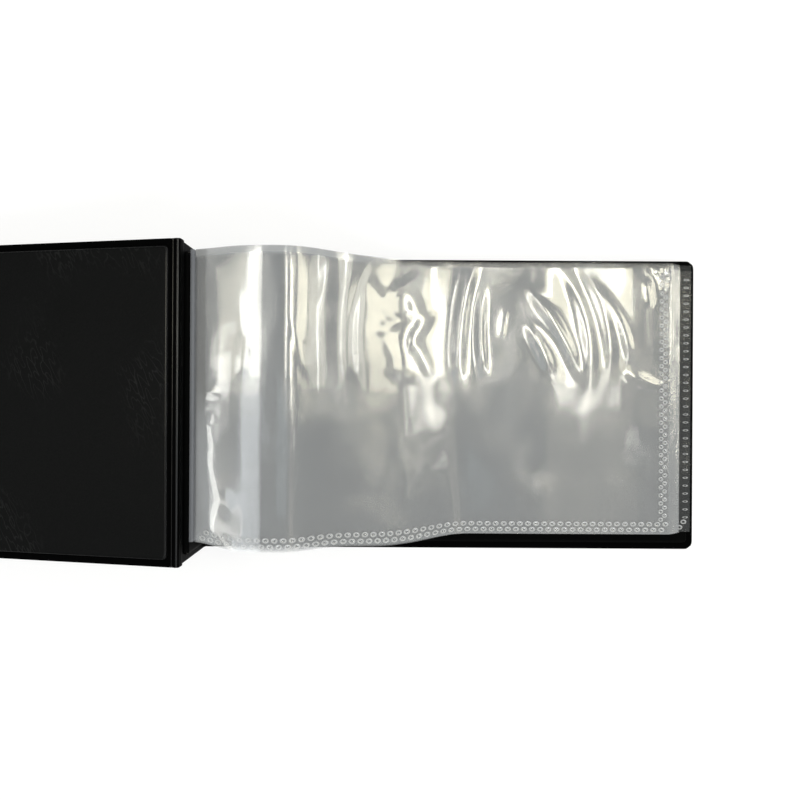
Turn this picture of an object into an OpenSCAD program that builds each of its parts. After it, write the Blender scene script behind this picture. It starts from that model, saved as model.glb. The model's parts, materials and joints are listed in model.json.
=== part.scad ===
// Pocket album for banknotes, opened at its front cover and lying on its back cover.
// Millimetres, Z up. The origin is the centre of the back cover's underside,
// +X runs to the fore edge and +Y to the mouths of the pockets.

/* [Covers] */
// Height of the covers, along the spine
cover_h = 110; // [90:1:140]
// Width of one cover plate, from its hinge edge to its fore edge
cover_w = 183; // [150:1:220]
// Thickness of the outer vinyl skin
skin_t = 0.6; // [0.4:0.1:1]
// Thickness of the stiffening boards
board_t = 1.6; // [1:0.1:2.5]
// Thickness of the inner vinyl liner
liner_t = 0.5; // [0.3:0.1:0.8]
// Width of the welded hem on the three free sides of a cover
hem_w = 2.6; // [2:0.1:5]
// Width of the welded hem on the hinge side of a cover
hinge_hem_w = 3.2; // [2.5:0.1:6]
// Radius of the outer corners of the covers
corner_r = 3; // [1:0.5:6]
// Clearance round a board inside its vinyl
board_fit = 0.05; // [0.02:0.01:0.2]

/* [Hinges] */
// Height of the ridge, where the front cover hinges, above the table
ridge_h = 34; // [26:0.5:45]
// Radius of the round welded bead on each cover hinge
bead_r = 0.7; // [0.5:0.05:1]
// Clearance between a bead and the plate that turns on it
bead_gap = 0.35; // [0.2:0.05:0.6]
// Thickness of the flexible webs between the plates
web_t = 0.8; // [0.5:0.1:1]
// Height of the web between the spine and the ridge
web_h = 4; // [3.2:0.1:6]
// Width of the web between the back cover and the spine
back_web_w = 2.75; // [2.4:0.05:4]
// Width of each weld line beside the front and back hinges
weld_line_w = 0.3; // [0.2:0.05:0.5]
// Depth of each weld line
weld_line_d = 0.2; // [0.1:0.05:0.3]

/* [Leaves] */
// Number of pocket leaves
leaf_count = 20; // [8:1:22]
// Height of a leaf, along the spine
leaf_h = 101; // [80:1:130]
// Length of a leaf, measured along the film
leaf_len = 181; // [140:1:210]
// Distance of the leaves from the top edge of the covers
leaf_top_in = 2; // [1:0.5:6]
// How much lower the front film ends at the pocket's mouth
mouth_lip = 2.3; // [1:0.1:6]
// Thickness of one film
film_t = 0.1; // [0.06:0.01:0.15]
// Room inside an empty pocket
pocket_gap = 0.04; // [0.02:0.01:0.08]
// Clearance between two leaves where they lie flat
leaf_gap = 0.05; // [0.03:0.01:0.1]
// Width of the weld band along the bottom of a pocket
weld_band = 3; // [2:0.5:6]
// Width of the weld band along the fore edge
fore_band = 3; // [2:0.5:12]

/* [Leaf bend] */
// Height of the crest of the top leaf above the line from its binding
crest_rise = 5; // [2:0.5:8]
// Distance of the crest from the binding
crest_at = 28; // [16:1:40]
// Where the leaves begin to fall to the back cover
drop_from = 30; // [6:1:44]
// Where the leaves come to lie flat
drop_to = 88; // [60:4:120]
// Length of film that the ripples of each leaf above the lowest take up
ripple_take = 4; // [0:0.5:6]

/* [Binding] */
// Thickness of the strip that carries the leaves on the spine
strip_t = 0.5; // [0.3:0.1:1]
// Length of the stub that each leaf is welded to
stub_len = 0.8; // [0.5:0.1:2]
// Thickness of a stub
stub_t = 0.5; // [0.3:0.05:0.8]
// Radius of the bead on a leaf's binding edge
leaf_bead_r = 0.25; // [0.2:0.05:0.4]
// Clearance between a leaf's bead and its stub
leaf_bead_gap = 0.15; // [0.1:0.05:0.3]

/* [Hidden] */
$fn = 48;
hem_t = skin_t + liner_t;
cover_t = skin_t + board_t + liner_t;
edge_step = 0.5;
panel_r = 1.5;
hinge_x = -cover_w / 2 - back_web_w;
plate_off = bead_r + bead_gap;
back_axis_z = bead_r;
crease_z = ridge_h - web_h;
spine_z = back_axis_z + plate_off;
spine_l = crease_z - plate_off - spine_z;
spine_hem = 2;
// the front cover slopes from the ridge until its fore edge meets the table
front_l = plate_off + cover_w;
front_reach = norm([front_l, hem_t / 2]);
slope = asin(ridge_h / front_reach) - atan2(hem_t / 2, front_l);

strip_x = hinge_x + cover_t / 2;
strip_z0 = spine_z + spine_hem + edge_step;
strip_z1 = spine_z + spine_l - spine_hem - edge_step;
leaf_x = strip_x + strip_t + stub_len + leaf_bead_gap + leaf_bead_r;
leaf_y1 = cover_h / 2 - leaf_top_in;
leaf_y0 = leaf_y1 - leaf_h;
leaf_t = 2 * film_t + pocket_gap;
flat_pitch = leaf_t + leaf_gap;
bind_pitch = (strip_z1 - strip_z0 - stub_t) / (leaf_count - 1);
front_from = leaf_bead_r + 0.35;
bend_step = 4;
bends = concat([0, front_from], [for (s = [bend_step:bend_step:drop_to]) s]);
film_colour = [0.78, 0.8, 0.82, 0.35];
vinyl_colour = [0.06, 0.06, 0.065];

// leaf 1 is the top one, so it has the most leaves under it
function under(k) = leaf_count - k;
function bind_z(k) = strip_z0 + stub_t / 2 + under(k) * bind_pitch;
function flat_z(k) = cover_t + leaf_gap + under(k) * flat_pitch;
function drop(s) = s <= drop_from ? 1 : s >= drop_to ? 0
    : (1 + cos(180 * (s - drop_from) / (drop_to - drop_from))) / 2;
function crest(s) = s >= 2 * crest_at ? 0 : (1 - cos(180 * s / crest_at)) / 2;
// underside of the back film of leaf k at the distance s from its hinge
function film_z(k, s) = flat_z(k) + (bind_z(k) - film_t / 2 - flat_z(k)) * drop(s)
    + crest_rise * under(k) / (leaf_count - 1) * crest(s);
function run(k, i = 1) = i >= len(bends) ? 0
    : norm([bends[i] - bends[i - 1], film_z(k, bends[i]) - film_z(k, bends[i - 1])])
        + run(k, i + 1);
// every leaf has the same length of film, so the more bent ones end sooner
function leaf_end(k) = bends[len(bends) - 1] + leaf_len - run(k)
    - (under(k) > 0 ? ripple_take : 0);
function line(k, from, up) = [for (s = bends) if (s >= from) [s, film_z(k, s) + up]];
function turned(pts) = [for (i = [len(pts) - 1:-1:0]) pts[i]];
function leaf_name(k, part) = str("leaf_", k < 10 ? "0" : "", k, "_", part);

echo(slope = slope, hinge_x = hinge_x, leaf_x = leaf_x,
     spine_l = spine_l, bind_pitch = bind_pitch, flat_pitch = flat_pitch);
echo(leaf_ends = [for (k = [1:leaf_count]) leaf_x + leaf_end(k)]);
echo(leaf_axes = [for (k = [1:leaf_count]) bind_z(k)]);

// where each plate lies: u runs away from its hinge edge, w is up from its outer face
module at_back() {
    translate([-cover_w / 2, 0, 0]) children();
}

module at_spine() {
    translate([hinge_x, 0, spine_z]) rotate([0, 0, 180]) rotate([0, -90, 0])
        translate([0, 0, -cover_t / 2]) children();
}

module at_front() {
    translate([hinge_x, 0, ridge_h]) rotate([0, -slope, 0]) rotate([0, 0, 180])
        translate([plate_off, 0, -hem_t / 2]) children();
}

module across(y0, y1) {
    translate([0, y1, 0]) rotate([90, 0, 0]) linear_extrude(y1 - y0) children();
}

module rod(x, z, r, y0, y1) {
    translate([x, y1, z]) rotate([90, 0, 0]) cylinder(h = y1 - y0, r = r);
}

// a flat sheet whose two far corners are rounded
module sheet(l, w0, w1, r) {
    d = w1 - w0;
    translate([0, -cover_h / 2, w0]) cube([l - r, cover_h, d]);
    if (r > 0) {
        translate([l - 2 * r, -cover_h / 2 + r, w0]) cube([2 * r, cover_h - 2 * r, d]);
        for (side = [-1, 1])
            translate([l - r, side * (cover_h / 2 - r), w0]) cylinder(h = d, r = r);
    }
}

// a raised field with four rounded corners
module field(u0, u1, half, w0, w1, r) {
    d = w1 - w0;
    translate([u0 + r, -half, w0]) cube([u1 - u0 - 2 * r, 2 * half, d]);
    translate([u0, -half + r, w0]) cube([u1 - u0, 2 * half - 2 * r, d]);
    for (u = [u0 + r, u1 - r], side = [-1, 1])
        translate([u, side * (half - r), w0]) cylinder(h = d, r = r);
}

module board_block(l, near, far, fit) {
    half = cover_h / 2 - hem_w - liner_t - fit;
    translate([near + liner_t + fit, -half, skin_t])
        cube([l - near - far - 2 * liner_t - 2 * fit, 2 * half, board_t - fit]);
}

// the liner lies on the skin along its hems and rises over the board
module liner(l, near, far, r, lines) {
    half = cover_h / 2 - hem_w;
    difference() {
        union() {
            sheet(l, skin_t, hem_t, r);
            field(near, l - far, half, skin_t, cover_t - edge_step, panel_r);
            field(near + edge_step, l - far - edge_step, half - edge_step,
                  skin_t, cover_t, panel_r);
        }
        translate([0, 0, -board_fit]) board_block(l, near, far, 0);
        board_block(l, near, far, 0);
        if (lines)
            for (u = [near * 0.28, near * 0.48])
                translate([u, -cover_h, hem_t - weld_line_d])
                    cube([weld_line_w, 2 * cover_h, 1]);
    }
}

module back_outer_skin() {
    color(vinyl_colour) at_back() sheet(cover_w, 0, skin_t, corner_r);
}

module back_board() {
    color("peru") at_back() board_block(cover_w, hinge_hem_w, hem_w, board_fit);
}

module back_inner_liner() {
    color(vinyl_colour) at_back() liner(cover_w, hinge_hem_w, hem_w, corner_r, true);
}

module back_hinge_web() {
    color(vinyl_colour) {
        rod(hinge_x, back_axis_z, bead_r, -cover_h / 2, cover_h / 2);
        translate([hinge_x, -cover_h / 2, hem_t - web_t])
            cube([back_web_w, cover_h, web_t]);
    }
}

module spine_outer_skin() {
    color(vinyl_colour) at_spine() sheet(spine_l, 0, skin_t, 0);
}

module spine_board() {
    color("peru") at_spine() board_block(spine_l, spine_hem, spine_hem, board_fit);
}

module spine_inner_liner() {
    color(vinyl_colour) at_spine() liner(spine_l, spine_hem, spine_hem, 0, false);
}

module front_hinge_web() {
    color(vinyl_colour) {
        rod(hinge_x, crease_z, bead_r, -cover_h / 2, cover_h / 2);
        rod(hinge_x, ridge_h, bead_r, -cover_h / 2, cover_h / 2);
        translate([hinge_x - web_t / 2, -cover_h / 2, crease_z])
            cube([web_t, cover_h, web_h]);
    }
}

module front_outer_skin() {
    color(vinyl_colour) at_front() sheet(cover_w, 0, skin_t, corner_r);
}

module front_board() {
    color("peru") at_front() board_block(cover_w, hinge_hem_w, hem_w, board_fit);
}

module front_inner_liner() {
    color(vinyl_colour) at_front() liner(cover_w, hinge_hem_w, hem_w, corner_r, true);
}

// the strip welded to the spine's liner, with one stub for each leaf
module binding_strip() {
    color(film_colour) translate([strip_x, leaf_y0, strip_z0])
        cube([strip_t, leaf_h, strip_z1 - strip_z0]);
}

module binding_stubs() {
    color(film_colour) for (k = [1:leaf_count])
        translate([strip_x + strip_t, leaf_y0, bind_z(k) - stub_t / 2])
            cube([stub_len, leaf_h, stub_t]);
}

// the back film turns on the bead of its binding edge
module leaf_back_film(k) {
    last = leaf_end(k);
    z = film_z(k, last);
    color(film_colour) translate([leaf_x, 0, 0]) {
        across(leaf_y0, leaf_y1)
            polygon(concat(line(k, 0, 0), [[last, z], [last, z + film_t]],
                           turned(line(k, 0, film_t))));
        rod(0, bind_z(k), leaf_bead_r, leaf_y0, leaf_y1);
    }
}

// the front film is welded to the back film at its hinge side, fore edge and bottom
module leaf_front_film(k) {
    last = leaf_end(k);
    seam = film_t;
    inner = film_t + pocket_gap;
    outer = leaf_t;
    z = film_z(k, last);
    first = bends[2];
    top = concat(line(k, front_from, outer), [[last, z + outer]]);
    color(film_colour) translate([leaf_x, 0, 0]) {
        across(leaf_y0 + weld_band, leaf_y1 - mouth_lip)
            polygon(concat(top,
                [[last, z + seam], [last - fore_band, z + seam], [last - fore_band, z + inner]],
                turned(line(k, first, inner)),
                [[first, film_z(k, first) + seam], [front_from, film_z(k, front_from) + seam]]));
        across(leaf_y0, leaf_y0 + weld_band)
            polygon(concat(top, [[last, z + seam]], turned(line(k, front_from, seam))));
    }
}

back_outer_skin();
back_board();
back_inner_liner();
back_hinge_web();
spine_outer_skin();
spine_board();
spine_inner_liner();
binding_strip();
binding_stubs();
front_hinge_web();
front_outer_skin();
front_board();
front_inner_liner();
for (k = [1:leaf_count]) {
    leaf_back_film(k);
    leaf_front_film(k);
}
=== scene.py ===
import json
import math
import bpy
import numpy as np
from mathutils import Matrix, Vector


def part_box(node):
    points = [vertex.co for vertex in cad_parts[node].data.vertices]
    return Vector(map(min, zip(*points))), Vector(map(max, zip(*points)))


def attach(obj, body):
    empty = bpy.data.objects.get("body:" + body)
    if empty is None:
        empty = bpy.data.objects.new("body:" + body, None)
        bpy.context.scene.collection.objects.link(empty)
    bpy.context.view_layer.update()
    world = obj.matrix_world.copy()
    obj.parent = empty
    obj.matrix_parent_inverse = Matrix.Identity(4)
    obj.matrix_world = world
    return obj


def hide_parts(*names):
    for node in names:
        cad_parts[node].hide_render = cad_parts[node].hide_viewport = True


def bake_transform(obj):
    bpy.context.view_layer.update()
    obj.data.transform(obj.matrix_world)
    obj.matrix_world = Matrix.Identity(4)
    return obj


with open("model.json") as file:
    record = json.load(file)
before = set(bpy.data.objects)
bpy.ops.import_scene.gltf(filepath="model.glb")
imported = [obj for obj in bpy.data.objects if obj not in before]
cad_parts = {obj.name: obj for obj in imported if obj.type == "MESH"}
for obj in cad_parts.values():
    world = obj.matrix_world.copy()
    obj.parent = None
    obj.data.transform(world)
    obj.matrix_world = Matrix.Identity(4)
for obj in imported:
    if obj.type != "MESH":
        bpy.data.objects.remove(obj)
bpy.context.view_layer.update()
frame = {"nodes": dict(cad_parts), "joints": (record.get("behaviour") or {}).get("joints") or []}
nodes = frame["nodes"]
joints = {joint["name"]: joint for joint in frame["joints"]}
mm = 0.001
print("frame loaded:", len(nodes), "nodes")


# shared mesh tools

def smoothStep(low, high, value):
    share = np.clip((value - low) / (high - low), 0, 1)
    return share * share * (3 - 2 * share)


def boxMm(node):
    low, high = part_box(node)
    return np.array(low) / mm, np.array(high) / mm


def slabFaces(rows, columns, shift=0):
    # two point grids, the lower one first, joined along their rims
    under, over = shift, shift + rows * columns
    faces = []
    for i in range(rows - 1):
        for j in range(columns - 1):
            a, b = i * columns + j, (i + 1) * columns + j
            faces.append((over + a, over + b, over + b + 1, over + a + 1))
            faces.append((under + a, under + a + 1, under + b + 1, under + b))
    for j in range(columns - 1):
        last = (rows - 1) * columns
        faces.append((under + j, over + j, over + j + 1, under + j + 1))
        faces.append((under + last + j, under + last + j + 1,
                      over + last + j + 1, over + last + j))
    for i in range(rows - 1):
        a, b = i * columns, (i + 1) * columns
        faces.append((under + a, under + b, over + b, over + a))
        a, b = a + columns - 1, b + columns - 1
        faces.append((under + a, over + a, over + b, under + b))
    return faces


def makePiece(name, points, faces, materials, faceSlots=None, sharpAt=40):
    mesh = bpy.data.meshes.new(name)
    mesh.from_pydata((np.asarray(points) * mm).tolist(), [], faces)
    for material in materials:
        mesh.materials.append(material)
    if faceSlots is not None:
        mesh.polygons.foreach_set("material_index", np.asarray(faceSlots, np.int32))
    mesh.polygons.foreach_set("use_smooth", np.ones(len(faces), bool))
    mesh.set_sharp_from_angle(angle=math.radians(sharpAt))
    mesh.update()
    piece = bpy.data.objects.new(name, mesh)
    bpy.context.scene.collection.objects.link(piece)
    return piece


def pointValue(piece, name, values):
    store = piece.data.attributes.new(name, "FLOAT", "POINT")
    values = np.broadcast_to(np.asarray(values, np.float32), len(piece.data.vertices))
    store.data.foreach_set("value", np.ascontiguousarray(values))


# shader tools

def addNode(tree, kind, x, y, **settings):
    node = tree.nodes.new(kind)
    node.location = (x, y)
    for key, value in settings.items():
        if key in node.inputs:
            node.inputs[key].default_value = value
        else:
            setattr(node, key, value)
    return node


def newGroup(name, inputs, outputs):
    tree = bpy.data.node_groups.new(name, "ShaderNodeTree")
    for label, value in inputs:
        socket = tree.interface.new_socket(label, in_out="INPUT", socket_type="NodeSocketFloat")
        socket.default_value = value
    for label in outputs:
        tree.interface.new_socket(label, in_out="OUTPUT", socket_type="NodeSocketFloat")
    return tree, tree.nodes.new("NodeGroupInput"), tree.nodes.new("NodeGroupOutput")


def newMaterial(name):
    material = bpy.data.materials.new(name)
    material.use_nodes = True
    tree = material.node_tree
    return material, tree, tree.nodes["Principled BSDF"]


def mathNode(tree, operation, x, y, first, second=None):
    node = tree.nodes.new("ShaderNodeMath")
    node.operation = operation
    node.location = (x, y)
    for socket, value in zip(node.inputs, (first, second)):
        if value is None:
            continue
        if hasattr(value, "is_output"):
            tree.links.new(value, socket)
        else:
            socket.default_value = value
    return node.outputs[0]


def rampBetween(tree, mask, colours, x, y):
    ramp = addNode(tree, "ShaderNodeValToRGB", x, y)
    steps = ramp.color_ramp.elements
    for place in range(1, len(colours) - 1):
        steps.new(place / (len(colours) - 1))
    for step, colour in zip(steps, colours):
        step.color = (*colour, 1)
    tree.links.new(mask, ramp.inputs["Fac"])
    return ramp.outputs["Color"]


def mapNode(tree, value, x, y, given=(0.0, 1.0), to=(0.0, 1.0), curve="LINEAR"):
    node = addNode(tree, "ShaderNodeMapRange", x, y, interpolation_type=curve)
    for label, number in zip(("From Min", "From Max", "To Min", "To Max"), (*given, *to)):
        node.inputs[label].default_value = number
    tree.links.new(value, node.inputs["Value"])
    return node.outputs["Result"]


def addBump(tree, shader, height, distance, x, y):
    bump = addNode(tree, "ShaderNodeBump", x, y, Distance=distance, Strength=1.0)
    tree.links.new(height, bump.inputs["Height"])
    tree.links.new(bump.outputs["Normal"], shader.inputs["Normal"])


def buildVinylGrain():
    # pebbled leatherette with sparse handling creases
    tree, given, put = newGroup(
        "vinylGrain",
        [("Pebble Depth", 0.5), ("Crease Depth", 0.5)],
        ["Height", "Crease", "Mottle"])
    link = tree.links.new
    place = addNode(tree, "ShaderNodeTexCoord", -1200, 0).outputs["Object"]
    pebble = addNode(tree, "ShaderNodeTexVoronoi", -900, 300, feature="SMOOTH_F1")
    pebble.inputs["Scale"].default_value = 1500.0
    pebble.inputs["Smoothness"].default_value = 0.6
    pebble.inputs["Randomness"].default_value = 0.9
    link(place, pebble.inputs["Vector"])
    pores = addNode(tree, "ShaderNodeTexNoise", -900, 80, Scale=2600.0, Detail=2.0)
    link(place, pores.inputs["Vector"])
    slant = addNode(tree, "ShaderNodeMapping", -1050, -160, vector_type="TEXTURE",
                    Rotation=(0.0, 0.0, 0.5), Scale=(1.0, 4.0, 1.0))
    link(place, slant.inputs["Vector"])
    folds = addNode(tree, "ShaderNodeTexNoise", -900, -160, Scale=760.0, Detail=0.0)
    link(slant.outputs["Vector"], folds.inputs["Vector"])
    ridge = mathNode(tree, "SUBTRACT", -700, -160, folds.outputs["Fac"], 0.5)
    ridge = mathNode(tree, "ABSOLUTE", -560, -160, ridge)
    lines = mapNode(tree, ridge, -420, -160, (0.0, 0.06), (1.0, 0.0), "SMOOTHSTEP")
    patches = addNode(tree, "ShaderNodeTexNoise", -900, -400, Scale=26.0, Detail=1.0)
    link(place, patches.inputs["Vector"])
    where = mapNode(tree, patches.outputs["Fac"], -700, -400, (0.53, 0.72), curve="SMOOTHSTEP")
    crease = mathNode(tree, "MULTIPLY", -240, -200, lines, where)
    mottle = addNode(tree, "ShaderNodeTexNoise", -900, -620, Scale=38.0, Detail=4.0)
    link(place, mottle.inputs["Vector"])
    grain = mathNode(tree, "MULTIPLY", -560, 300, pebble.outputs["Distance"],
                     given.outputs["Pebble Depth"])
    pits = mathNode(tree, "MULTIPLY", -560, 80, pores.outputs["Fac"], 0.25)
    cut = mathNode(tree, "MULTIPLY", -100, -200, crease, given.outputs["Crease Depth"])
    height = mathNode(tree, "ADD", -300, 200, grain, pits)
    height = mathNode(tree, "SUBTRACT", 60, 100, height, cut)
    link(height, put.inputs["Height"])
    link(crease, put.inputs["Crease"])
    link(mottle.outputs["Fac"], put.inputs["Mottle"])
    return tree


def buildFilmHaze():
    # slow waviness, drawing streaks and faint haze of soft clear film, with a painted reflection
    # near the binding
    tree, given, put = newGroup(
        "filmHaze",
        [("Wave Scale", 22.0), ("Streak Scale", 260.0), ("Streak Depth", 0.05)],
        ["Height", "HazeAndPaintedReflection", "Blur", "Frost"])
    link = tree.links.new
    place = addNode(tree, "ShaderNodeTexCoord", -1100, 0).outputs["Object"]
    layer = addNode(tree, "ShaderNodeAttribute", -1100, -300, attribute_name="layer")
    slack = addNode(tree, "ShaderNodeAttribute", -1100, -500, attribute_name="slack")
    frost = addNode(tree, "ShaderNodeAttribute", -1100, -700, attribute_name="frost")
    paintedReflection = addNode(tree, "ShaderNodeAttribute", -1100, -900, attribute_name="paintedReflection")
    waves = addNode(tree, "ShaderNodeTexNoise", -800, 200, noise_dimensions="4D",
                    Detail=1.0, Roughness=0.4)
    link(place, waves.inputs["Vector"])
    link(layer.outputs["Fac"], waves.inputs["W"])
    link(given.outputs["Wave Scale"], waves.inputs["Scale"])
    stretch = addNode(tree, "ShaderNodeMapping", -900, -100, Scale=(1.0, 0.08, 1.0))
    link(place, stretch.inputs["Vector"])
    streaks = addNode(tree, "ShaderNodeTexNoise", -700, -100, noise_dimensions="4D", Detail=2.0)
    link(stretch.outputs["Vector"], streaks.inputs["Vector"])
    link(layer.outputs["Fac"], streaks.inputs["W"])
    link(given.outputs["Streak Scale"], streaks.inputs["Scale"])
    fine = mathNode(tree, "MULTIPLY", -480, -100, streaks.outputs["Fac"],
                    given.outputs["Streak Depth"])
    sway = mathNode(tree, "MULTIPLY", -480, 200, waves.outputs["Fac"], slack.outputs["Fac"])
    height = mathNode(tree, "ADD", -300, 100, sway, fine)
    link(height, put.inputs["Height"])
    plain = mathNode(tree, "MULTIPLY", -480, -300, streaks.outputs["Fac"], 0.5)
    # painted reflection: a pale bluish white near the binding, mixed into the film's tone
    lipCloudAndPaintedReflection = mathNode(tree, "MULTIPLY", -480, -500, paintedReflection.outputs["Fac"], 0.5)
    link(mathNode(tree, "ADD", -300, -400, plain, lipCloudAndPaintedReflection), put.inputs["HazeAndPaintedReflection"])
    link(slack.outputs["Fac"], put.inputs["Blur"])
    link(frost.outputs["Fac"], put.inputs["Frost"])
    return tree


vinylGrain = buildVinylGrain()
filmHaze = buildFilmHaze()

# each finish: darkest and lightest tone, roughness, shine of its face, coat on its creases
vinylFinish = {
    "panel": {"dark": (0.0012, 0.0013, 0.0013), "light": (0.0028, 0.003, 0.003),
              "rough": (0.40, 0.56), "specular": 0.075, "creaseCoat": 0.23,
              "pebbleDepth": 0.55, "creaseDepth": 0.9, "bump": 0.00008},
    # painted shade: the panel vinyl again, made darker and duller for faces that lie in shade
    # behind the leaves
    "paintedShade": {"dark": (0.0008, 0.0009, 0.0009), "light": (0.0016, 0.0017, 0.0017),
               "rough": (0.40, 0.56), "specular": 0.015, "creaseCoat": 0.01,
               "pebbleDepth": 0.5, "creaseDepth": 0.5, "bump": 0.00006},
    "welded": {"dark": (0.0006, 0.0006, 0.0007), "light": (0.0012, 0.0013, 0.0013),
               "rough": (0.34, 0.46), "specular": 0.008, "creaseCoat": 0.014,
               "pebbleDepth": 0.25, "creaseDepth": 0.3, "bump": 0.00004},
    "rubbed": {"dark": (0.001, 0.001, 0.0011), "light": (0.0022, 0.0023, 0.0023),
               "rough": (0.20, 0.34), "specular": 0.5, "creaseCoat": 0.0,
               "pebbleDepth": 0.2, "creaseDepth": 0.5, "bump": 0.00004},
}


def vinylMaterial(name, finish):
    material, tree, shader = newMaterial(name)
    grain = addNode(tree, "ShaderNodeGroup", -900, 0, node_tree=vinylGrain)
    grain.inputs["Pebble Depth"].default_value = finish["pebbleDepth"]
    grain.inputs["Crease Depth"].default_value = finish["creaseDepth"]
    tones = (finish["dark"], finish["light"])
    colour = rampBetween(tree, grain.outputs["Mottle"], tones, -600, 200)
    tree.links.new(colour, shader.inputs["Base Color"])
    rough = mapNode(tree, grain.outputs["Mottle"], -600, -100, to=finish["rough"])
    tree.links.new(rough, shader.inputs["Roughness"])
    addBump(tree, shader, grain.outputs["Height"], finish["bump"], -400, -300)
    shader.inputs["Specular IOR Level"].default_value = finish["specular"]
    if finish["creaseCoat"]:  # creases shine where they are rubbed
        coat = mapNode(tree, grain.outputs["Crease"], -600, -500, to=(0.0, finish["creaseCoat"]))
        tree.links.new(coat, shader.inputs["Coat Weight"])
        shader.inputs["Coat Roughness"].default_value = sum(finish["rough"]) / 2
    return material


filmFinish = {
    # the clear film's third tone is a painted reflection, a pale bluish white laid on near the
    # binding
    "clear": {"dark": (0.40, 0.415, 0.43), "light": (0.52, 0.525, 0.52),
              "paintedReflection": (0.90, 0.93, 0.96), "alpha": 0.10,
              "frost": 0.6, "rough": (0.05, 0.17), "ior": 4.0, "wave": 28.0, "streak": 240.0,
              "streakDepth": 0.002, "bump": 0.006},
    "lowest": {"dark": (0.36, 0.38, 0.39), "light": (0.46, 0.47, 0.47), "alpha": 0.03,
               "rough": (0.05, 0.17), "ior": 2.4, "wave": 28.0, "streak": 240.0,
               "streakDepth": 0.002, "bump": 0.006},
    # the welds are frosted whiter than the clear film, and their whiteness is also a painted
    # highlight on the rims of the open dots
    "weld": {"dark": (0.66, 0.67, 0.67), "light": (0.80, 0.81, 0.80), "alpha": 0.42,
             "rough": (0.18, 0.30), "ior": 2.0, "wave": 160.0, "streak": 500.0,
             "streakDepth": 0.1, "bump": 0.00003},
    "binding": {"dark": (0.22, 0.23, 0.25), "light": (0.32, 0.33, 0.35), "alpha": 0.45,
                "rough": (0.25, 0.38), "ior": 1.5, "wave": 60.0, "streak": 400.0,
                "streakDepth": 0.2, "bump": 0.0002},
}


def filmMaterial(name, finish):
    material, tree, shader = newMaterial(name)
    haze = addNode(tree, "ShaderNodeGroup", -900, 0, node_tree=filmHaze)
    haze.inputs["Wave Scale"].default_value = finish["wave"]
    haze.inputs["Streak Scale"].default_value = finish["streak"]
    haze.inputs["Streak Depth"].default_value = finish["streakDepth"]
    tones = (finish["dark"], finish["light"], finish.get("paintedReflection", finish["light"]))
    colour = rampBetween(tree, haze.outputs["HazeAndPaintedReflection"], tones, -600, 200)
    tree.links.new(colour, shader.inputs["Base Color"])
    rough = mapNode(tree, haze.outputs["Blur"], -600, -100, to=finish["rough"])
    tree.links.new(rough, shader.inputs["Roughness"])
    addBump(tree, shader, haze.outputs["Height"], finish["bump"], -400, -300)
    shader.inputs["IOR"].default_value = finish["ior"]
    shader.inputs["Alpha"].default_value = finish["alpha"]
    if "frost" in finish:
        extra = mathNode(tree, "MULTIPLY", -600, -450, haze.outputs["Frost"], finish["frost"])
        clouded = mathNode(tree, "ADD", -400, -500, extra, finish["alpha"])
        tree.links.new(clouded, shader.inputs["Alpha"])
    return material


def greyboardMaterial():
    material, tree, shader = newMaterial("greyboard")
    place = addNode(tree, "ShaderNodeTexCoord", -1000, 0).outputs["Object"]
    fibres = addNode(tree, "ShaderNodeTexNoise", -700, 100, Scale=900.0, Detail=6.0,
                     Distortion=0.8)
    tree.links.new(place, fibres.inputs["Vector"])
    colour = rampBetween(tree, fibres.outputs["Fac"],
                         ((0.18, 0.16, 0.13), (0.34, 0.31, 0.27)), -450, 150)
    tree.links.new(colour, shader.inputs["Base Color"])
    addBump(tree, shader, fibres.outputs["Fac"], 0.00005, -300, -200)
    shader.inputs["Roughness"].default_value = 0.85
    return material


panelVinyl = vinylMaterial("panelVinyl", vinylFinish["panel"])
paintedShadeVinyl = vinylMaterial("paintedShadeVinyl", vinylFinish["paintedShade"])  # painted shade: a darker, duller copy of the panel vinyl for the inside of the back cover and spine, which lie in shade behind the leaves
weldedVinyl = vinylMaterial("weldedVinyl", vinylFinish["welded"])
rubbedVinyl = vinylMaterial("rubbedVinyl", vinylFinish["rubbed"])  # where the cover is handled
clearFilm = filmMaterial("clearFilm", filmFinish["clear"])
lowestFilm = filmMaterial("lowestFilm", filmFinish["lowest"])  # alone over the black cover
weldFrostAndPaintedHighlightFilm = filmMaterial("weldFrostAndPaintedHighlightFilm", filmFinish["weld"])
bindingFilm = filmMaterial("bindingFilm", filmFinish["binding"])
greyboard = greyboardMaterial()
print("materials made")


# cover plates and spine: u runs away from the hinge edge, w up from the outer face

hingeX, _, ridgeZ = (value / mm for value in joints["cover_swing"]["pos_m"])
creaseZ = joints["front_crease"]["pos_m"][2] / mm

plate = {
    "height": 110.0, "width": 183.0, "skin": 0.6, "liner": 0.5, "thick": 2.7, "offset": 1.05,
    "hem": 2.6, "hingeHem": 3.2, "frontHem": 2.3, "spineHem": 2.0,
    "corner": 3.0, "panelCorner": 1.5, "shoulder": 0.8, "rimRound": 0.22,
    "weldLines": (1.05, 1.7), "weldLineWide": 0.16, "weldLineDeep": 0.22,
    "footDeep": 0.1, "footAt": 0.16, "footWide": 0.12,
    "grooveDeep": 0.14, "grooveAt": 0.1, "grooveWide": 0.22,
    "pucker": 0.05, "outerPucker": 0.6, "puckerIn": (1.0, 9.0),
    "linerKeep": 0.9, "leastLiner": 0.12, "skinClear": 0.005, "rubbed": 0.8, "rubbedLine": 1.2,
}
plate["hemThick"] = plate["skin"] + plate["liner"]

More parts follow.
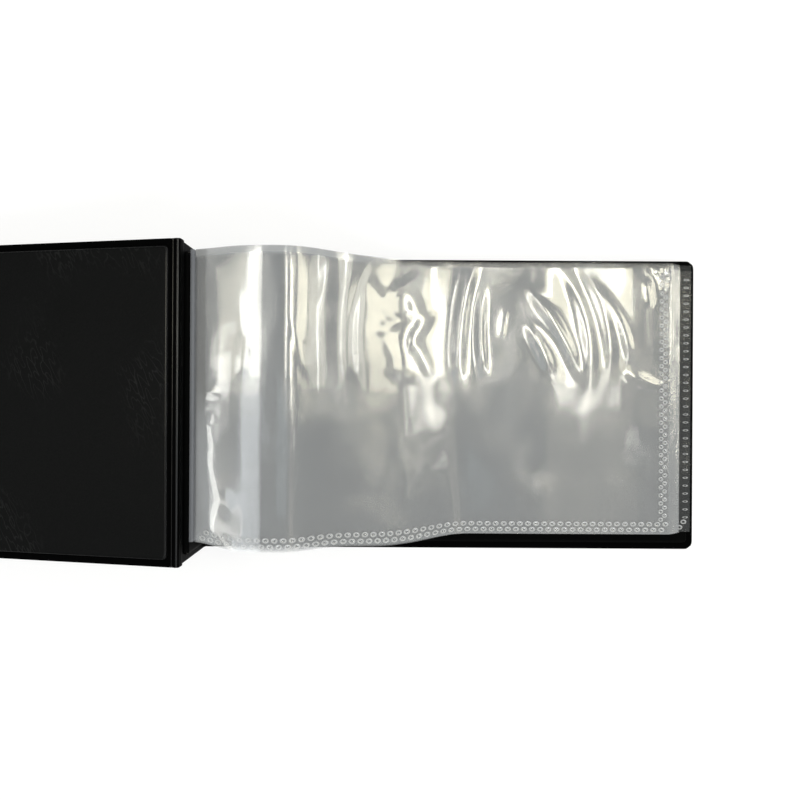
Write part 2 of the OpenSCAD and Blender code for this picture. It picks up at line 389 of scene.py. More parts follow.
# grid lines of a plate, from its rim, round the foot of its panel and round each weld line
grid = {
    "rim": (0.12, 0.3, 0.55),
    "foot": (-0.7, -0.4, -0.2, -0.08, 0.0, 0.06, 0.16, 0.3, 0.5, 0.8, 1.3),
    "line": (-1.6, -0.8, 0.0, 0.8, 1.6),
    "field": (3.0, 2.0), "step": 2.2, "least": 0.045, "pastHinge": 20.0,
}

# the front cover leans on the table with the far edge of its outer face
frontReach = plate["offset"] + plate["width"]
frontSlope = (math.asin(ridgeZ / math.hypot(frontReach, plate["hemThick"] / 2))
              - math.atan2(plate["hemThick"] / 2, frontReach))
spineLow, spineHigh = boxMm("spine_outer_skin")


def atBack(u, v, w):
    return np.stack([u - plate["width"] / 2, v, w], -1)


def atSpine(u, v, w):
    return np.stack([hingeX + w - plate["thick"] / 2, -v, spineLow[2] + u], -1)


def atFront(u, v, w):
    along, up = -(u + plate["offset"]), w - plate["hemThick"] / 2
    cosine, sine = math.cos(frontSlope), math.sin(frontSlope)
    return np.stack([hingeX + along * cosine - up * sine, -v,
                     ridgeZ + along * sine + up * cosine], -1)


def stations(length, near, far, lines=()):
    # grid lines crowd together over the hems and the panel's shoulder
    marks = {0.0, length}
    for hem, start, sign in ((near, 0.0, 1), (far, length, -1)):
        steps = (*grid["rim"], *(hem + step for step in grid["foot"]))
        marks.update(start + sign * step for step in steps)
    for line in lines:
        marks.update(line + step * plate["weldLineWide"] for step in grid["line"])
    first, last = grid["field"]
    marks.update(np.arange(near + first, length - far - last, grid["step"]).tolist())
    ordered = sorted(marks)
    kept = [ordered[0]]
    for mark in ordered[1:]:
        if mark - kept[-1] > grid["least"]:
            kept.append(mark)
    kept[-1] = length
    return np.array(kept)


def insideRound(u, v, low, high, half, radius):
    # how far a point lies inside a rounded rectangle
    sideU = np.abs(u - (low + high) / 2) - ((high - low) / 2 - radius)
    sideV = np.abs(v) - (half - radius)
    outside = np.hypot(np.maximum(sideU, 0), np.maximum(sideV, 0))
    return radius - outside - np.minimum(np.maximum(sideU, sideV), 0)


def plateGrid(cover, near, lines):
    length, far, corner = cover["length"], cover["far"], cover["corner"]
    u = stations(length, near, far, lines)
    half = plate["height"] / 2
    v = stations(plate["height"], plate["hem"], plate["hem"]) - half
    u, v = np.meshgrid(u, v, indexing="ij")
    if corner:
        past = np.clip(u - (length - corner), 0, corner)
        v = v * (half - corner + np.sqrt(corner ** 2 - past ** 2)) / half
    inside = insideRound(u, v, near, length - far, half - plate["hem"], plate["panelCorner"])
    low = -grid["pastHinge"] if corner else 0.0  # a cover's hinge edge isn't rounded
    toRim = insideRound(u, v, low, length, half, corner or 0.01)
    if not corner:
        toRim = np.minimum(toRim, half - np.abs(v))
    return u, v, inside, toRim


def pucker(u, v, seed):
    # the vinyl never lies dead flat over its board
    wave = (np.sin(u * 0.071 + seed) * np.sin(v * 0.093 + 1.7 * seed)
            + 0.6 * np.sin(u * 0.19 - v * 0.11 + 2.3 * seed)
            + 0.4 * np.sin(u * 0.05 + v * 0.31 + 0.7 * seed))
    return plate["pucker"] * wave


def rimDrop(toRim):
    share = np.clip(1 - toRim / (1.6 * plate["rimRound"]), 0, 1)
    return plate["rimRound"] * share ** 2


def slotFaces(faces, inside, rubbed):
    # the board's face comes first, then the welded hems, then what is rubbed
    depth = np.concatenate([inside.ravel(), inside.ravel()])
    worn = np.concatenate([rubbed.ravel(), rubbed.ravel()])
    slots = []
    for face in faces:
        corners = list(face)
        if worn[corners].mean() > 0.5:
            slots.append(2)
        else:
            slots.append(0 if depth[corners].mean() > 0 else 1)
    return slots


def linerPiece(name, cover, body, node):
    near, lines = cover["linerNear"], cover["lines"]
    u, v, inside, toRim = plateGrid(cover, near, lines)
    rise = np.sqrt(np.clip(1 - (1 - np.clip(inside / plate["shoulder"], 0, 1)) ** 2, 0, 1))
    upper = plate["hemThick"] + (plate["thick"] - plate["hemThick"]) * rise
    upper += pucker(u, v, cover["linerSeed"]) * smoothStep(*plate["puckerIn"], inside)
    upper -= plate["footDeep"] * np.exp(-((inside + plate["footAt"]) / plate["footWide"]) ** 2)
    for line in lines:
        upper -= plate["weldLineDeep"] * np.exp(-((u - line) / plate["weldLineWide"]) ** 2)
    upper -= rimDrop(toRim)
    lower = np.maximum(plate["skin"], upper - plate["liner"] * plate["linerKeep"])
    lower = np.minimum(lower, upper - plate["leastLiner"])
    sheets = [cover["place"](u, v, w).reshape(-1, 3) for w in (lower, upper)]
    faces = slabFaces(*u.shape)
    rubbed = (u < near + cover["rubbed"]) & (inside > 0)
    if cover["rubbed"]:
        rubbed |= np.abs(u - lines[0]) < plate["rubbedLine"] * plate["weldLineWide"]
    piece = makePiece(name, np.concatenate(sheets), faces,
                      [cover["face"], weldedVinyl, rubbedVinyl], slotFaces(faces, inside, rubbed))
    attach(piece, body)
    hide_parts(node)
    return piece


def skinPiece(name, cover, body, node):
    u, v, inside, toRim = plateGrid(cover, cover["skinNear"], ())
    across = (inside + plate["grooveAt"]) / plate["grooveWide"]
    groove = plate["grooveDeep"] * np.exp(-across ** 2)
    wave = np.abs(pucker(u, v, cover["skinSeed"])) * plate["outerPucker"]
    outer = groove + rimDrop(toRim) + wave * smoothStep(*plate["puckerIn"], inside)
    inner = np.full_like(outer, plate["skin"] - plate["skinClear"])
    sheets = [cover["place"](u, v, w).reshape(-1, 3) for w in (outer, inner)]
    faces = slabFaces(*u.shape)
    piece = makePiece(name, np.concatenate(sheets), faces, [panelVinyl, weldedVinyl],
                      slotFaces(faces, inside, np.zeros(u.shape, bool)))
    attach(piece, body)
    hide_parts(node)
    return piece


# near and far are the hems at the hinge edge and opposite, face is the vinyl of the inner panel
# the back cover and spine take the painted-shade vinyl on their inner panel
backPlate = {"place": atBack, "length": plate["width"], "corner": plate["corner"],
             "skinNear": plate["hingeHem"], "linerNear": plate["hingeHem"], "far": plate["hem"],
             "lines": plate["weldLines"], "linerSeed": 0.4, "skinSeed": 1.3,
             "face": paintedShadeVinyl, "rubbed": 0.0}
frontPlate = {"place": atFront, "length": plate["width"], "corner": plate["corner"],
              "skinNear": plate["hingeHem"], "linerNear": plate["frontHem"], "far": plate["hem"],
              "lines": plate["weldLines"], "linerSeed": 2.1, "skinSeed": 3.2,
              "face": panelVinyl, "rubbed": plate["rubbed"]}
spinePlate = {"place": atSpine, "length": spineHigh[2] - spineLow[2], "corner": 0,
              "skinNear": plate["spineHem"], "linerNear": plate["spineHem"],
              "far": plate["spineHem"], "lines": (), "linerSeed": 4.4, "skinSeed": 5.1,
              "face": paintedShadeVinyl, "rubbed": 0.0}
linerPiece("back_liner_panel", backPlate, "back_cover", "back_inner_liner")
skinPiece("back_skin_panel", backPlate, "back_cover", "back_outer_skin")
linerPiece("front_liner_panel", frontPlate, "front_cover", "front_inner_liner")
skinPiece("front_skin_panel", frontPlate, "front_cover", "front_outer_skin")
linerPiece("spine_liner_panel", spinePlate, "spine", "spine_inner_liner")
skinPiece("spine_skin_panel", spinePlate, "spine", "spine_outer_skin")
for name in ("back_board", "front_board", "spine_board"):
    nodes[name].data.materials.clear()
    nodes[name].data.materials.append(greyboard)
print("covers and spine made")


# hinge vinyl, one strip over each fold

fold = {"rows": 40, "webHalf": 0.4, "hemHalf": plate["hemThick"] / 2, "worn": 0.3}


def curveThrough(points, count):
    # quadratic bends between the middles of the legs, with straight ends
    points = [np.array(point, float) for point in points]
    line = [points[0]]
    for before, corner, after in zip(points, points[1:], points[2:]):
        start = points[0] if before is points[0] else (before + corner) / 2
        end = points[-1] if after is points[-1] else (corner + after) / 2
        for t in np.linspace(0, 1, count)[1:]:
            line.append((1 - t) ** 2 * start + 2 * t * (1 - t) * corner + t * t * end)
    return np.array(line)


def stripPiece(name, line, halves, node=None, worn=None):
    # line holds x and z of the middle of the vinyl, halves its half thickness
    direction = np.gradient(line, axis=0)
    direction /= np.linalg.norm(direction, axis=1)[:, None]
    side = np.stack([-direction[:, 1], direction[:, 0]], -1)
    y = np.linspace(-plate["height"] / 2, plate["height"] / 2, fold["rows"])
    sheets = []
    for sign in (-1, 1):
        edge = line + side * halves[:, None] * sign
        x, yy = np.meshgrid(edge[:, 0], y, indexing="ij")
        z, _ = np.meshgrid(edge[:, 1], y, indexing="ij")
        sheets.append(np.stack([x, yy, z], -1).reshape(-1, 3))
    faces = slabFaces(len(line), len(y))
    rubbed = np.zeros(len(line), bool)
    if worn is not None:
        rubbed = np.linalg.norm(line - worn, axis=1) < fold["worn"]
    slots = [int(rubbed[np.array(face) // len(y) % len(line)].mean() > 0.5) for face in faces]
    piece = makePiece(name, np.concatenate(sheets), faces, [weldedVinyl, rubbedVinyl],
                      slots, sharpAt=50)
    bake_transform(piece)
    if node:
        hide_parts(node)
    return piece


def halvesAlong(line, marks):
    run = np.concatenate([[0], np.cumsum(np.linalg.norm(np.diff(line, axis=0), axis=1))])
    share = run / run[-1]
    return np.interp(share, [mark[0] for mark in marks], [mark[1] for mark in marks])


hemMid = hingeX - plate["thick"] / 2 + plate["hemThick"] / 2
webMid = (creaseZ + ridgeZ) / 2
downSlope = np.array([-math.cos(frontSlope), -math.sin(frontSlope)])
ridgeAxis = np.array([hingeX, ridgeZ])

# halves pair a share of the fold's run with half its thickness there
ridgeFold = {"leg": 0.9, "bendFrom": (0.3, -0.7), "bendTo": 0.95, "wornAt": 0.5,
             "halves": [(0, fold["webHalf"]), (0.45, 0.28), (0.8, 0.28), (1, fold["hemHalf"])]}
ridgeLine = curveThrough([(hingeX, webMid), (hingeX, ridgeZ - ridgeFold["leg"]), ridgeAxis,
                          ridgeAxis + downSlope * ridgeFold["leg"],
                          ridgeAxis + downSlope * plate["offset"]], 9)
stripPiece("ridge_fold", ridgeLine, halvesAlong(ridgeLine, ridgeFold["halves"]),
           "front_hinge_web",
           ridgeAxis + downSlope * ridgeFold["wornAt"])

creaseFold = {"spineLeg": 0.5, "turn": 0.2, "webLeg": 0.9, "bend": 0.7,
              "halves": [(0, fold["hemHalf"]), (0.25, 0.36), (0.6, 0.34), (1, fold["webHalf"])]}
creaseLine = curveThrough([(hemMid, spineHigh[2]), (hemMid, spineHigh[2] + creaseFold["spineLeg"]),
                           (hingeX, creaseZ + creaseFold["turn"]),
                           (hingeX, creaseZ + creaseFold["webLeg"]), (hingeX, webMid)], 7)
stripPiece("crease_fold", creaseLine, halvesAlong(creaseLine, creaseFold["halves"]))

backFold = {"plateLeg": 1.2, "outer": 0.55, "drop": 0.02, "spineLeg": 0.35,
            "bendFrom": (0.8, -0.5), "bendTo": (-0.6, 0.6),
            "halves": [(0, fold["hemHalf"]), (0.3, 0.4), (0.75, 0.36), (1, fold["hemHalf"])]}
backLine = curveThrough([(-plate["width"] / 2, fold["hemHalf"]),
                         (hingeX + backFold["plateLeg"], fold["hemHalf"]),
                         (hingeX - backFold["outer"], fold["hemHalf"] - backFold["drop"]),
                         (hemMid, spineLow[2] - backFold["spineLeg"]), (hemMid, spineLow[2])], 8)
stripPiece("back_fold", backLine, halvesAlong(backLine, backFold["halves"]),
           "back_hinge_web")
print("hinge folds made")


# pocket leaves

# lengths run along the film from its binding, shares run up from its bottom edge
leaf = {
    "count": 20, "film": 0.1, "gap": 0.04, "lip": 2.3, "frontFrom": 0.6, "bend": 44.0,
    "rise": 4.7, "crestAt": 28.0, "fall": (31.0, 74.0),
    "tail": (68.0, 91.0), "tailShare": 0.19, "tailRound": 3.0,
    "sag": (40.0, 96.0), "sagUp": 0.19, "sagOut": 2.0, "sagFrom": 0.575,
    "flareTop": 0.6, "flareBottom": 2.4, "flareIn": 18.0, "flareShare": (0.4, 0.6),
    "fade": 0.84, "loose": (30.0, 60.0), "foreCalm": 12.0, "free": (0.5, 7.0), "humpBuckle": 0.6,
    "ripple": 0.21, "rippleMouth": (0.12, 0.95), "calm": (19.5, 9.0), "calmShare": 0.85,
    "foreStep": 1.2, "bead": 0.10, "beadWide": 0.22,
    # painted reflection: where the films near the binding turn paler, how it fades up the leaf, and
    # the frost it adds
    "paintedReflection": (3.0, 17.0), "paintedReflectionFrost": 0.12, "paintedReflectionFade": (0.35, 0.6), "paintedReflectionLess": 0.6,
    "clearLip": -0.155, "lipCloud": (48.0, 72.0), "lipEdge": (-0.3, 0.2),
    "slack": {(1, "front"): 0.1, (1, "back"): 0.3, (2, "front"): 0.6},
    "mesh": {1: 1.0, 2: 1.6, 3: 1.6}, "coarse": 3.0,
}
# buckles of the top films: x, y, length, width, lean in degrees, height, curl
buckles = [
    (-73.5, 16.0, 6.0, 1.5, -8.0, 0.30, 0.010),
    (-76.0, 31.0, 9.0, 1.8, 6.0, 0.22, 0.005),
    (-46.0, 43.0, 8.0, 1.2, -8.0, 0.16, 0.0),
    (-54.5, 19.0, 9.0, 1.0, 15.0, 0.18, 0.0),
    (-37.8, 29.0, 23.0, 2.2, -4.0, 0.40, 0.006),
    (-27.5, 37.0, 8.0, 2.2, 34.0, 0.30, 0.010),
    (-21.0, 42.0, 7.0, 2.2, -58.0, 0.26, 0.010),
    (-15.5, 37.0, 8.0, 2.1, 30.0, 0.20, -0.012),
    (-22.5, 29.5, 7.5, 2.2, -64.0, 0.28, -0.010),
    (-13.5, 27.0, 8.0, 2.1, -34.0, 0.22, 0.012),
    (-24.5, 21.0, 7.0, 2.1, 20.0, 0.28, 0.010),
    (-12.0, 17.5, 7.5, 2.1, 26.0, 0.20, -0.010),
    (-20.5, 11.5, 5.5, 2.0, 62.0, 0.26, 0.012),
    (2.0, 31.0, 22.0, 2.6, -7.0, 0.60, 0.004),
    (9.3, 27.0, 15.0, 1.8, 1.0, 0.50, 0.004),
    (17.6, 30.0, 5.5, 1.2, -8.0, 0.11, 0.004),
    (38.5, 27.5, 15.0, 2.1, 31.0, 0.55, -0.006),
    (31.8, 21.0, 8.5, 1.9, 27.0, 0.50, -0.008),
    (48.5, 30.0, 20.0, 2.4, 13.0, 0.34, -0.008),
    (55.5, 33.0, 17.0, 2.2, 17.0, 0.32, -0.009),
    (61.0, 31.0, 13.0, 1.9, 24.0, 0.32, -0.010),
    (71.4, 42.0, 4.5, 1.3, 10.0, 0.30, 0.006),
    (70.0, 9.0, 6.0, 1.6, 68.0, 0.40, 0.006),
    (-84.5, -24.0, 9.0, 4.2, 18.0, 0.60, 0.010),
    (-83.5, -37.0, 8.0, 4.2, -22.0, 0.66, 0.012),
    (-80.0, -47.0, 7.0, 3.4, 60.0, 0.45, 0.010),
    (-85.5, -11.0, 6.0, 2.6, 16.0, 0.36, 0.008),
    (-87.5, 4.0, 4.0, 1.0, 86.0, 0.45, 0.0),
    (75.5, 48.0, 3.5, 0.7, 30.0, 0.35, 0.020),
    (77.5, 45.5, 3.0, 0.6, -20.0, 0.30, 0.020),
    (74.0, 50.0, 2.5, 0.6, 60.0, 0.30, 0.0),
    (79.0, 50.5, 2.6, 0.7, 25.0, 0.45, 0.020),
    (77.0, 52.0, 2.2, 0.7, -50.0, 0.45, 0.0),
    (80.0, 48.0, 2.2, 0.6, -15.0, 0.40, 0.0),
]


def fallShare(s):
    # 1 on the binding side of the hump, 0 where the leaf lies flat, with a long easy end
    start, stop = leaf["fall"]
    steep = (1 + np.cos(np.pi * np.clip((s - start) / (stop - start), 0, 1))) / 2
    low, high = leaf["tail"]
    gone = np.hypot(s - low, leaf["tailRound"]) - np.hypot(s - high, leaf["tailRound"])
    easy = 0.5 - gone / (2 * (high - low))
    return steep * (1 - leaf["tailShare"]) + easy * leaf["tailShare"]


def crestShare(s):
    # steepest at the binding, level at the crest, then down again
    rise = np.sin(np.pi / 2 * np.clip(s / leaf["crestAt"], 0, 1))
    down = (1 + np.cos(np.pi * np.clip(s / leaf["crestAt"] - 1, 0, 1))) / 2
    return np.minimum(rise, down)


def buckleHeight(x, y):
    total = np.zeros_like(x)
    for bx, by, length, width, lean, height, curl in buckles:
        angle = math.radians(lean)
        along = (y - by) * math.cos(angle) - (x - bx) * math.sin(angle)
        across = (x - bx) * math.cos(angle) + (y - by) * math.sin(angle) - curl * along ** 2
        total += height * np.exp(-(across / width) ** 2) * np.exp(-(along / length) ** 4)
    return total


def rippleHeight(x, y, yLow, yHigh):
    # soft tubes of air, widest at the open mouth of the pocket
    mouth = smoothStep(*leaf["rippleMouth"], (y - yLow) / (yHigh - yLow))
    calmAt, calmWide = leaf["calm"]
    calm = 1 - leaf["calmShare"] * np.exp(-((x - calmAt) / calmWide) ** 2)
    sway = 3.0 * np.sin(y * 0.06)
    wave = (0.55 * (1 + np.sin((x + sway) * 0.21 + 0.6))
            + 0.3 * (1 + np.sin((x - sway) * 0.37 + 2.2)))
    return leaf["ripple"] * (0.12 + 0.88 * mouth) * wave * calm


def filmSurface(number, s, y, part, hinge, end, flatZ, yLow, yHigh):
    under = (leaf["count"] - number) / (leaf["count"] - 1)
    share = (y - yLow) / (yHigh - yLow)
    fall = fallShare(s)
    sagStart, sagStop = leaf["sag"]
    sag = np.sin(np.pi * np.clip((s - sagStart) / (sagStop - sagStart), 0, 1)) ** 2
    sag = sag * np.clip(1 - share / leaf["sagFrom"], 0, 1) ** 2  # the bottom edge comes down last
    fall = fall + leaf["sagUp"] * sag
    z = flatZ + (hinge[2] - leaf["film"] / 2 - flatZ) * fall
    z = z + leaf["rise"] * under * crestShare(s)
    x = hinge[0] + s
    fade = leaf["fade"] ** (2 * (number - 1) + (1 if part == "back" else 0))
    loose = smoothStep(*leaf["loose"], s) * smoothStep(0, leaf["foreCalm"], end - s)
    free = smoothStep(*leaf["free"], s) * np.where(s > leaf["loose"][0], 1, leaf["humpBuckle"])
    z = z + fade * (rippleHeight(x, y, yLow, yHigh) * loose + buckleHeight(x, y) * free)
    least, more = leaf["flareShare"]
    flare = smoothStep(0, leaf["flareIn"], s) * fall * (least + more * under)
    shifted = y + flare * (leaf["flareTop"] * share - leaf["flareBottom"] * (1 - share))
    shifted = shifted - leaf["sagOut"] * under * sag
    return x, shifted, z


# weld dots: rows and columns lie in from the film's edges, sizes are half lengths along
# the film and up it, rings pair a dot's radius with the height of its rim
weld = {"pitch": 3.0, "rows": (1.7, 3.8), "rowSize": (1.2, 0.9), "rowEnds": (3.0, 1.5),
        "columns": (3.7, 2.3), "columnSize": (0.95, 0.85), "columnEnds": (5.5, 3.5),
        "dashes": (1.85,), "dashSize": (1.1, 0.42), "mouthFree": 1.5, "seat": 0.004,
        # open dots put the whitish weld film on their rims: the welds' own frosting and a painted
        # highlight
        "open": {"sides": 12, "rim": 0.16, "slot": 1,
                 "rings": ((1.0, 0.0), (0.84, 1.0), (0.62, 0.7), (0.5, 0.15))},
        "hidden": {"sides": 6, "rim": 0.025, "slot": 0, "rings": ((1.0, 0.0), (0.6, 1.0))}}


def weldDots(number, end, yLow, yHigh):
    dots = []
    first, last = weld["rowEnds"]
    for row, lift in enumerate(weld["rows"]):
        for s in np.arange(first + row * weld["pitch"] / 2, end - last, weld["pitch"]):
            dots.append((s, yLow + lift, *weld["rowSize"]))
    lowest = number == leaf["count"]
    columns = weld["dashes"] if lowest else weld["columns"]
    size = weld["dashSize"] if lowest else weld["columnSize"]
    first, last = weld["columnEnds"]
    for column, inset in enumerate(columns):
        start = first + column * weld["pitch"] / 2
        for step in np.arange(start, yHigh - yLow - last, weld["pitch"]):
            dots.append((end - inset, yLow + step, *size))
    return dots


def foreEdge(number):
    # the fore edges lie in a few steps, and the lowest leaf reaches past them
    bindX = joints[f"leaf_{number:02d}_turn"]["pos_m"][0] / mm
    end = boxMm(f"leaf_{number:02d}_back_film")[1][0] - bindX
    if number == leaf["count"]:
        return end
    first = boxMm("leaf_01_back_film")[1][0] - bindX
    return first + leaf["foreStep"] * math.floor((end - first) / leaf["foreStep"] + 1e-6)


def filmGrid(number, part, end, yLow, top):
    # finer on the top leaves, and crowded at the binding and at the fore edge
    step = leaf["mesh"].get(number, leaf["coarse"])
    first = 0.0 if part == "back" else leaf["frontFrom"]
    s = np.concatenate([[first, 1.2, 2.2], np.linspace(3.5, end - 0.8, int((end - 4.3) / step)),
                        end - np.array([0.5, 0.32, 0.16, 0.0])])
    y = np.linspace(yLow, top, int((top - yLow) / step))
    return np.meshgrid(s, y, indexing="ij")


def dotShell(surface, dot, kind, level):
    # one dot is a low closed ring with a sunk middle, seated on the film
    s, y, wide, tall = dot
    sides, rings = kind["sides"], kind["rings"]
    turn = np.arange(sides) * 2 * np.pi / sides
    points = []
    for share, high in rings:
        x, shifted, z = surface(s + wide * share * np.cos(turn), y + tall * share * np.sin(turn))
        points.append(np.stack([x, shifted, z + level + weld["seat"] + kind["rim"] * high], -1))
    faces = []
    for ring in range(len(rings) - 1):
        for i in range(sides):
            a, b = ring * sides + i, ring * sides + (i + 1) % sides
            faces.append((a, b, b + sides, a + sides))
    slots = [kind["slot"]] * len(faces) + [0, 0]
    faces.append(tuple((len(rings) - 1) * sides + i for i in range(sides)))
    faces.append(tuple(reversed(range(sides))))
    return points, faces, slots


def dressFilm(piece, number, part, sGrid, yGrid, yLow, yHigh):
    # values that the film's material reads: its layer, slack, painted reflection and frost
    pointValue(piece, "layer", 1.7 * number + (0.9 if part == "front" else 0.0))
    pointValue(piece, "slack", leaf["slack"].get((number, part), 1.0))
    # painted reflection: paler bluish white near the binding, strongest towards the bottom edge
    upFade = smoothStep(*leaf["paintedReflectionFade"], (yGrid - yLow) / (yHigh - yLow))
    paintedReflection = ((1 - smoothStep(*leaf["paintedReflection"], sGrid)) * (1 - leaf["paintedReflectionLess"] * upFade)).ravel()
    dots = np.zeros(len(piece.data.vertices) - 2 * len(paintedReflection))
    paintedReflection = np.concatenate([paintedReflection, paintedReflection, dots])
    pointValue(piece, "paintedReflection", paintedReflection)
    # the front film is made more opaque where the painted reflection lies
    if part == "front":
        pointValue(piece, "frost", leaf["paintedReflectionFrost"] * paintedReflection)
        return
    # the lip above the pocket's mouth, cloudy where it stands in the hump
    mouth = yHigh - leaf["lip"]
    lip = smoothStep(mouth + leaf["lipEdge"][0], mouth + leaf["lipEdge"][1], yGrid)
    humped = 1 - smoothStep(*leaf["lipCloud"], sGrid)
    lipCloudAndPaintedReflection = (lip * (humped + (1 - humped) * leaf["clearLip"])).ravel()
    pointValue(piece, "frost", np.concatenate([lipCloudAndPaintedReflection, lipCloudAndPaintedReflection]))


def leafFilm(number, part):
    node = f"leaf_{number:02d}_{part}_film"
    hinge = np.array(joints[f"leaf_{number:02d}_turn"]["pos_m"]) / mm
    backLow, backHigh = boxMm(f"leaf_{number:02d}_back_film")
    flatZ, yLow, yHigh = backLow[2], backLow[1], backHigh[1]
    end = foreEdge(number)
    top = yHigh if part == "back" else yHigh - leaf["lip"]
    lift = 0.0 if part == "back" else leaf["film"] + leaf["gap"]
    sGrid, yGrid = filmGrid(number, part, end, yLow, top)

    def surface(sAt, yAt):
        return filmSurface(number, sAt, yAt, part, hinge, end, flatZ, yLow, yHigh)

    x, shifted, z = surface(sGrid, yGrid)
    lower = np.stack([x, shifted, z + lift], -1).reshape(-1, 3)
    bead = leaf["bead"] * np.exp(-((end - sGrid - leaf["beadWide"]) / leaf["beadWide"]) ** 2)
    upper = np.stack([x, shifted, z + lift + leaf["film"] + bead], -1).reshape(-1, 3)
    points = [lower, upper]
    faces = slabFaces(*sGrid.shape)
    slots = [0] * len(faces)
    count = 2 * len(lower)
    if part == "front":
        kind = weld["open" if number in (1, leaf["count"]) else "hidden"]
        for dot in weldDots(number, end, yLow, yHigh):
            if dot[1] > top - weld["mouthFree"]:
                continue
            shell, shellFaces, shellSlots = dotShell(surface, dot, kind, lift + leaf["film"])
            points += shell
            faces += [tuple(count + corner for corner in face) for face in shellFaces]
            slots += shellSlots
            count += kind["sides"] * len(shell)
    film = lowestFilm if number == leaf["count"] else clearFilm
    piece = makePiece(node + "_sheet", np.concatenate(points), faces, [film, weldFrostAndPaintedHighlightFilm],
                      slots, sharpAt=50)
    dressFilm(piece, number, part, sGrid, yGrid, yLow, yHigh)
    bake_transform(piece)
    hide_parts(node)
    return piece


for number in range(1, leaf["count"] + 1):
    for part in ("back", "front"):
        leafFilm(number, part)
for name in ("binding_strip", "binding_stubs"):
    nodes[name].data.materials.clear()
    nodes[name].data.materials.append(bindingFilm)
print("leaves made")


# floor, light and camera

stageLook = {"floorSize": 6.0, "floorTone": 0.30, "floorGlow": 0.72, "world": 0.32,
             "worldColour": (0.93, 0.97, 1.0)}


def makeFloor():
    half = stageLook["floorSize"] / 2
    mesh = bpy.data.meshes.new("floor")
    mesh.from_pydata([(-half, -half, 0), (half, -half, 0), (half, half, 0), (-half, half, 0)],
                     [], [(0, 1, 2, 3)])
    material = bpy.data.materials.new("floorPaper")
    material.use_nodes = True
    tree = material.node_tree
    tree.nodes.clear()
    output = addNode(tree, "ShaderNodeOutputMaterial", 600, 0)
    paper = addNode(tree, "ShaderNodeBsdfDiffuse", 0, 100)
    tone = stageLook["floorTone"]
    paper.inputs["Color"].default_value = (tone, tone, tone, 1)
    glow = addNode(tree, "ShaderNodeEmission", 0, -100)
    rays = addNode(tree, "ShaderNodeLightPath", -600, -200)
    seen = mathNode(tree, "MAXIMUM", -400, -200, rays.outputs["Is Camera Ray"],
                    rays.outputs["Is Transmission Ray"])
    seen = mathNode(tree, "MAXIMUM", -250, -250, seen, rays.outputs["Is Glossy Ray"])
    level = mathNode(tree, "MULTIPLY", -100, -250, seen, stageLook["floorGlow"])
    tree.links.new(level, glow.inputs["Strength"])
    both = addNode(tree, "ShaderNodeAddShader", 300, 0)
    tree.links.new(paper.outputs[0], both.inputs[0])
    tree.links.new(glow.outputs[0], both.inputs[1])
    tree.links.new(both.outputs[0], output.inputs["Surface"])
    mesh.materials.append(material)
    floor = bpy.data.objects.new("floor", mesh)
    floor.location.z = -0.0002
    bpy.context.scene.collection.objects.link(floor)


def makeWorld():
    world = bpy.data.worlds.new("studio")
    bpy.context.scene.world = world
    world.use_nodes = True
    tree = world.node_tree
    tree.nodes.clear()
    output = addNode(tree, "ShaderNodeOutputWorld", 500, 0)
    fill = addNode(tree, "ShaderNodeBackground", 0, 100)
    fill.inputs["Color"].default_value = (*stageLook["worldColour"], 1)
    fill.inputs["Strength"].default_value = stageLook["world"]
    white = addNode(tree, "ShaderNodeBackground", 0, -100)
    white.inputs["Color"].default_value = (1, 1, 1, 1)
    rays = addNode(tree, "ShaderNodeLightPath", -400, 300)
    pick = addNode(tree, "ShaderNodeMixShader", 250, 0)
    tree.links.new(rays.outputs["Is Camera Ray"], pick.inputs["Fac"])
    tree.links.new(fill.outputs[0], pick.inputs[1])
    tree.links.new(white.outputs[0], pick.inputs[2])
    tree.links.new(pick.outputs[0], output.inputs["Surface"])


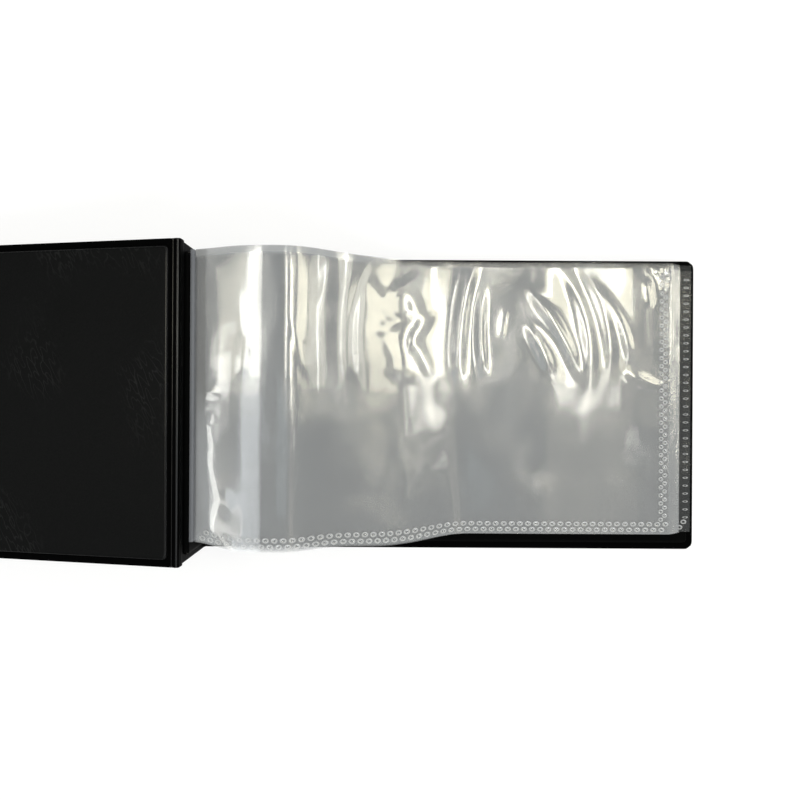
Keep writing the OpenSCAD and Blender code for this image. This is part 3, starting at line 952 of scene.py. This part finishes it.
# ceiling windows and panels, each with its radiance; they face straight down
ceiling = [
    {"name": "windowLeft", "x": (-0.58, -0.40), "y": (0.03, 0.30), "level": 6.0,
     "colour": (1.0, 0.99, 0.90)},
    {"name": "hazeLeft", "x": (-0.95, -0.58), "y": (0.03, 0.30), "level": 2.2,
     "colour": (1.0, 0.97, 0.80)},
    {"name": "hazeLeftLow", "x": (-0.96, -0.80), "y": (0.0, 0.11), "level": 4.0,
     "colour": (1.0, 0.99, 0.94)},
    {"name": "glowLeft", "x": (-1.30, -0.90), "y": (-0.34, -0.02), "level": 3.0,
     "colour": (1.0, 1.0, 0.95)},
    {"name": "glowLeftLow", "x": (-0.64, -0.40), "y": (-0.28, 0.03), "level": 1.8,
     "colour": (0.92, 0.97, 1.0)},
    {"name": "creamLow", "x": (-0.98, -0.62), "y": (-0.27, -0.19), "level": 2.2,
     "colour": (1.0, 0.99, 0.93)},
    {"name": "coolLow", "x": (-0.16, 0.12), "y": (-0.20, 0.03), "level": 0.35,
     "colour": (0.78, 0.95, 1.0)},
    {"name": "warmLow", "x": (0.24, 0.42), "y": (-0.30, 0.02), "level": 0.30,
     "colour": (1.0, 0.93, 0.76)},
    {"name": "panelMid", "x": (0.02, 0.13), "y": (0.045, 0.25), "level": 2.8,
     "colour": (1.0, 0.95, 0.76)},
    {"name": "windowMid", "x": (0.075, 0.105), "y": (0.045, 0.25), "level": 8.0,
     "colour": (1.0, 0.98, 0.93)},
    {"name": "panelRight", "x": (0.23, 0.385), "y": (0.045, 0.25), "level": 4.2,
     "colour": (1.0, 0.95, 0.70)},
    {"name": "windowRight", "x": (0.265, 0.305), "y": (0.045, 0.25), "level": 12.0,
     "colour": (1.0, 0.98, 0.90)},
    {"name": "blockRight", "x": (0.288, 0.33), "y": (-0.018, 0.035), "level": 7.0,
     "colour": (1.0, 0.97, 0.86)},
    {"name": "streakRight", "x": (0.385, 0.44), "y": (-0.10, -0.07), "level": 2.0,
     "colour": (1.0, 0.98, 0.90)},
    {"name": "panelFar", "x": (0.54, 1.0), "y": (0.05, 0.30), "level": 4.6,
     "colour": (1.0, 0.95, 0.74)},
]
ceilingZ, wallX = 1.0, 1.06
softBoxes = [
    {"name": "wallRight", "at": (wallX, 0.185, 0.75), "size": (0.27, 0.40), "level": 2.7,
     "colour": (1.0, 0.97, 0.80), "aim": (0, 0.185, 0.75)},
    {"name": "wallWindow", "at": (wallX - 0.01, 0.185, 0.665), "size": (0.27, 0.022), "level": 11.0,
     "colour": (1.0, 0.99, 0.95), "aim": (0, 0.185, 0.665)},
    {"name": "sideBoxNear", "at": (0.25, -1.0, 1.0), "size": (1.0, 0.6), "level": 6.4,
     "colour": (0.97, 0.985, 1.0), "aim": (0, 0, 0)},
    {"name": "sideBoxFar", "at": (0.25, 1.1, 1.0), "size": (1.0, 0.6), "level": 5.3,
     "colour": (1.0, 0.99, 0.97), "aim": (0, 0, 0)},
]
for order, box in enumerate(ceiling):
    middle = ((box["x"][0] + box["x"][1]) / 2, (box["y"][0] + box["y"][1]) / 2)
    softBoxes.append({
        "name": box["name"], "at": (*middle, ceilingZ - 0.002 * order), "aim": (*middle, 0),
        "size": (box["x"][1] - box["x"][0], box["y"][1] - box["y"][0]),
        "level": box["level"], "colour": box["colour"]})


def makeLights():
    for box in softBoxes:
        lamp = bpy.data.lights.new(box["name"], "AREA")
        lamp.shape = "RECTANGLE"
        lamp.size, lamp.size_y = box["size"]
        lamp.energy = math.pi * box["level"] * box["size"][0] * box["size"][1]
        lamp.color = box["colour"]
        holder = bpy.data.objects.new(box["name"], lamp)
        holder.location = box["at"]
        facing = Vector(box["aim"]) - Vector(box["at"])
        holder.rotation_euler = facing.to_track_quat("-Z", "Y").to_euler()
        bpy.context.scene.collection.objects.link(holder)


view = {"at": (-0.02045, 0.00138, 0.2594), "roll": 0.0057, "focalPixels": 675.8,
        "imagePixels": 800, "sensor": 36.0}


def makeCamera():
    lens = bpy.data.cameras.new("camera")
    lens.sensor_width = view["sensor"]
    lens.lens = view["sensor"] * view["focalPixels"] / view["imagePixels"]
    lens.clip_start = 0.005
    holder = bpy.data.objects.new("camera", lens)
    holder.location = view["at"]
    holder.rotation_euler = (0, 0, view["roll"])
    bpy.context.scene.collection.objects.link(holder)
    bpy.context.scene.camera = holder


makeFloor()
makeWorld()
makeLights()
makeCamera()
scene = bpy.context.scene
scene.view_settings.view_transform = "Standard"
scene.cycles.transparent_max_bounces = 26
print("stage, light and camera made")
